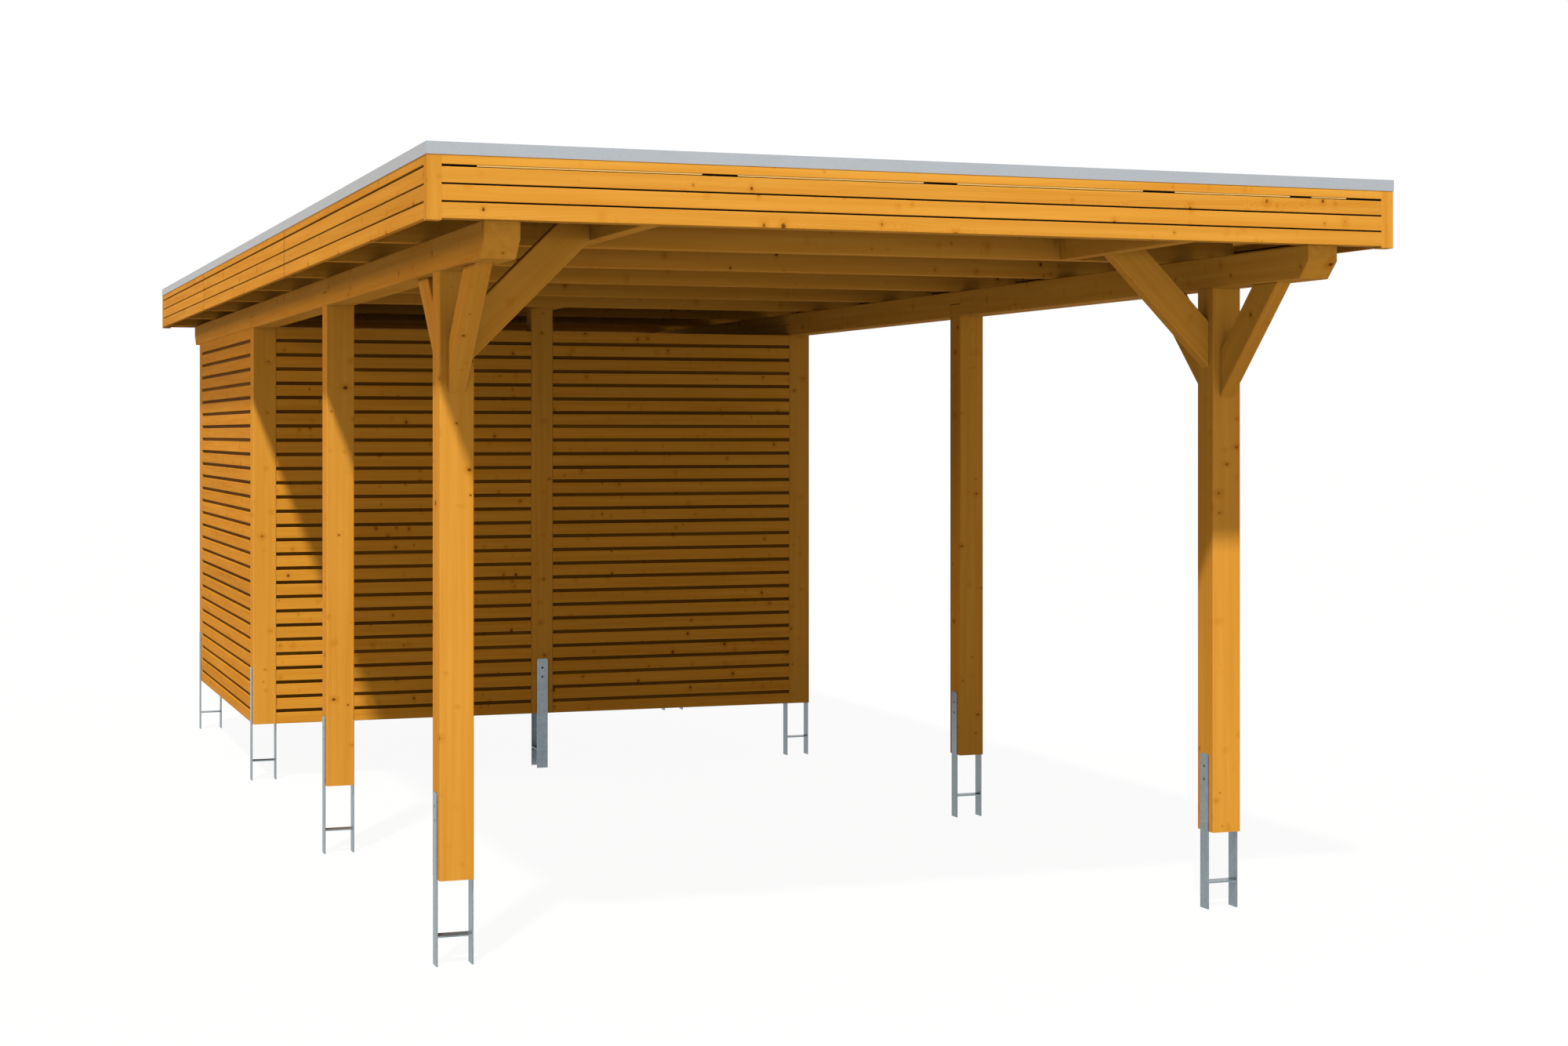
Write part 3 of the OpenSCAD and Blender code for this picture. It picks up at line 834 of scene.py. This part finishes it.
# %% Laths in the top gap
LATH_HEIGHT = 0.0052
LATH_SETBACK = 0.0015
LATH_BEVEL = 0.0004
LATH_EASE = 0.0003
LATH_ENDS = np.array([(-1.602, -0.858), (-0.735, -0.077), (0.047, 0.749), (0.875, 1.335),
                      (1.425, 1.567)])
laths = []
for place in ("front", "rear"):
    node = place + "_fascia"
    start, axes, length = facing(node, INWARD[place])
    gap_top = levels(node, 2)[-2]
    thick = np.ptp(corners(node) @ INWARD[place])
    section = soften(rectangle(LATH_SETBACK, thick, gap_top - LATH_HEIGHT, gap_top), LATH_BEVEL, BEVEL_STEPS)
    for near, far in LATH_ENDS:
        lath_start = start + axes[2] * (near - axes[2] @ start)
        laths.append(timber(section, lath_start, axes, far - near, LATH_EASE))
join_timbers("gap_laths", laths, lath_painted_highlight, "fascia_boards")
print(len(laths), "laths on sides of", round(length, 3), "m")

# %% [markdown]
# The roof is covered with sheets of mineral-coated felt, laid across the roof and lapped, so each
# strip rises by its own thickness over the last one. The profile is a saw with long flat teeth,
# carried across the roof.

# %% Roofing strips
STRIPS = 8
LAP_RISE = 0.003
FELT_EASE = 0.0003
sheet_low, sheet_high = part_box("roof_sheet")
sheet_y = levels("roof_sheet", 1)
strip_y = np.linspace(sheet_y[1], sheet_y[-2], STRIPS + 1)
strip_pitch = strip_y[1] - strip_y[0]
teeth = np.stack([np.stack([strip_y[1:], np.full(STRIPS, sheet_high.z)], axis=1),
                  np.stack([strip_y[:-1], np.full(STRIPS, sheet_high.z + LAP_RISE)], axis=1)], axis=1)
sheet_profile = np.concatenate([[(strip_y[0], sheet_low.z), (strip_y[-1], sheet_low.z)],
                                teeth[::-1].reshape(-1, 2)])
felt_strips = timber(sheet_profile, (sheet_low.x, 0, 0), (Y, Z, X), sheet_high.x - sheet_low.x, FELT_EASE)
print(STRIPS, "strips of", round(strip_pitch, 3), "m")

# %% [markdown]
# Coarse coloured grains give the felt its look. Each strip comes from another roll and differs a
# little, and a dark line of painted shade lies in front of each lap. A strip's number is its place
# along the roof divided by the pitch, without the fraction, and the fraction is the way across the strip.

# %% Felt finish
GRIT_SCALE = 420.0
GRIT_SHARE = 0.6
GRIT_RELIEF = 0.5
GRIT_DEPTH = 0.001
GRIT_ROUGHNESS = 0.2
PATCH_SCALE = 1.6
PATCH_DETAIL = 4.0
PATCH_SHARE = 0.5
STRIP_SPREAD = 0.3
# Painted shade at the foot of each lap.
LAP_SHADE_WIDTH = 0.025
FELT_ROUGHNESS = 0.75
FELT_DARK = shade(58, 60, 63)
FELT_PALE = shade(112, 114, 116)
LAP_SHADE_DARK = shade(30, 30, 31)

felt, tree, shader = new_material("roofing_felt")
whole = put(tree, "TexCoord", {}).outputs["Object"]
grit = put(tree, "TexVoronoi", {}, Vector=whole, Scale=GRIT_SCALE)
grit_value = put(tree, "SeparateColor", {}, grit.outputs["Color"]).outputs[0]
patch = put(tree, "TexNoise", {}, Vector=whole, Scale=PATCH_SCALE, Detail=PATCH_DETAIL).outputs[0]
felt_mix = work(tree, "MULTIPLY_ADD", patch, PATCH_SHARE, work(tree, "MULTIPLY", grit_value, GRIT_SHARE))
from_front = work(tree, "SUBTRACT", put(tree, "SeparateXYZ", {}, whole).outputs[1], strip_y[0])
strip_run = work(tree, "DIVIDE", from_front, strip_pitch)
strip_number = work(tree, "FLOOR", strip_run)
strip_draw = put(tree, "TexWhiteNoise", {"noise_dimensions": "1D"}, W=strip_number).outputs[0]
strip_tone = work(tree, "SUBTRACT", strip_draw, NOISE_MIDDLE)
felt_mix = work(tree, "MULTIPLY_ADD", strip_tone, STRIP_SPREAD, felt_mix)
felt_shade = mixed(tree, felt_mix, FELT_DARK, FELT_PALE)
# Painted shade: a dark line just in front of each lap's step.
lap_shade = fade(tree, work(tree, "FRACT", strip_run), 1.0 - LAP_SHADE_WIDTH / strip_pitch, 1.0)
felt_rough = work(tree, "MULTIPLY_ADD", grit_value, GRIT_ROUGHNESS, FELT_ROUGHNESS)
felt_relief = put(tree, "Bump", {}, Strength=GRIT_RELIEF, Distance=GRIT_DEPTH,
                  Height=grit.outputs["Distance"])
tree.links.new(mixed(tree, lap_shade, felt_shade, LAP_SHADE_DARK), shader.inputs["Base Color"])
tree.links.new(felt_rough, shader.inputs["Roughness"])
tree.links.new(felt_relief.outputs[0], shader.inputs["Normal"])
join_timbers("roofing_strips", [felt_strips], felt, "roofing", "roof_sheet")
print("roofing_felt has", len(tree.nodes), "nodes")

# %% [markdown]
# Two metals are left: zinc on the steel anchors and the mill finish of the folded edge trim. Both
# have a fine speckle and soft clouds of lighter and darker metal, so one group serves them. Zinc
# crystals are larger than the fine pattern of the rolled trim, and zinc is the shinier of the two.

# %% Shared metal group
CRYSTAL_SHARE = 0.45
CLOUD_SCALE = 5.0
CLOUD_DETAIL = 5.0
CLOUD_SHARE = 0.6
SPECKLE_SCALE = 700.0
SPECKLE_DETAIL = 2.0
SPECKLE_SHARE = 0.6
SPECKLE_HEIGHT = 0.5
BLOOM_ROUGHNESS = 0.15

metal_bloom, given, result = new_group(
    "metal_bloom",
    {"Place": "Vector", "Crystal Scale": "Float", "Pale Metal": "Color", "Dark Metal": "Color",
     "Rough": "Float"},
    {"Color": "Color", "Roughness": "Float", "Height": "Float"})
crystal = put(metal_bloom, "TexVoronoi", {}, Vector=given["Place"], Scale=given["Crystal Scale"])
crystal_draw = put(metal_bloom, "SeparateColor", {}, crystal.outputs["Color"]).outputs[0]
cloud = put(metal_bloom, "TexNoise", {}, Vector=given["Place"], Scale=CLOUD_SCALE,
            Detail=CLOUD_DETAIL).outputs[0]
speckle = put(metal_bloom, "TexNoise", {}, Vector=given["Place"], Scale=SPECKLE_SCALE,
              Detail=SPECKLE_DETAIL).outputs[0]
cloud_part = work(metal_bloom, "MULTIPLY", cloud, CLOUD_SHARE)
speckle_part = work(metal_bloom, "SUBTRACT", speckle, NOISE_MIDDLE)
bloom = work(metal_bloom, "MULTIPLY_ADD", crystal_draw, CRYSTAL_SHARE, cloud_part)
bloom = work(metal_bloom, "MULTIPLY_ADD", speckle_part, SPECKLE_SHARE, bloom)
rough_part = work(metal_bloom, "MULTIPLY", bloom, BLOOM_ROUGHNESS)
fill(metal_bloom, result["Color"], mixed(metal_bloom, bloom, given["Dark Metal"], given["Pale Metal"]))
fill(metal_bloom, result["Roughness"], work(metal_bloom, "ADD", rough_part, given["Rough"]))
fill(metal_bloom, result["Height"], work(metal_bloom, "MULTIPLY_ADD", speckle, SPECKLE_HEIGHT, crystal_draw))
print("metal_bloom has", len(metal_bloom.nodes), "nodes")

# %% [markdown]
# The anchors and the trim keep their solids, which have their bolt holes and folds already. Each
# kind gets one material, in which the group is placed with that metal's values.

# %% Anchors and edge trim
METAL_RELIEF = 0.1
METAL_DEPTH = 0.0004


def metal_material(name, pale, dark, crystal_scale, rough, metallic):
    """A metal with the shared bloom; how metallic it is stands on the shader itself."""
    material, tree, shader = new_material(name)
    whole = put(tree, "TexCoord", {}).outputs["Object"]
    finish = put(tree, "Group", {"node_tree": metal_bloom}, whole, crystal_scale, pale, dark, rough)
    relief = put(tree, "Bump", {}, Strength=METAL_RELIEF, Distance=METAL_DEPTH,
                 Height=finish.outputs["Height"])
    shader.inputs["Metallic"].default_value = metallic
    tree.links.new(finish.outputs["Color"], shader.inputs["Base Color"])
    tree.links.new(finish.outputs["Roughness"], shader.inputs["Roughness"])
    tree.links.new(relief.outputs[0], shader.inputs["Normal"])
    return material


zinc = metal_material("galvanised_steel", shade(152, 164, 170), shade(118, 131, 137),
                      crystal_scale=90.0, rough=0.3, metallic=0.75)
mill_metal = metal_material("edge_metal", shade(184, 189, 195), shade(166, 173, 181),
                            crystal_scale=420.0, rough=0.4, metallic=0.35)
for ending, metal in (("_anchors", zinc), ("_trim", mill_metal)):
    metal_nodes = [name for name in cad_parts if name.endswith(ending)]
    for name in metal_nodes:
        refinish(name, metal)
    print(metal.name, "on", metal_nodes)
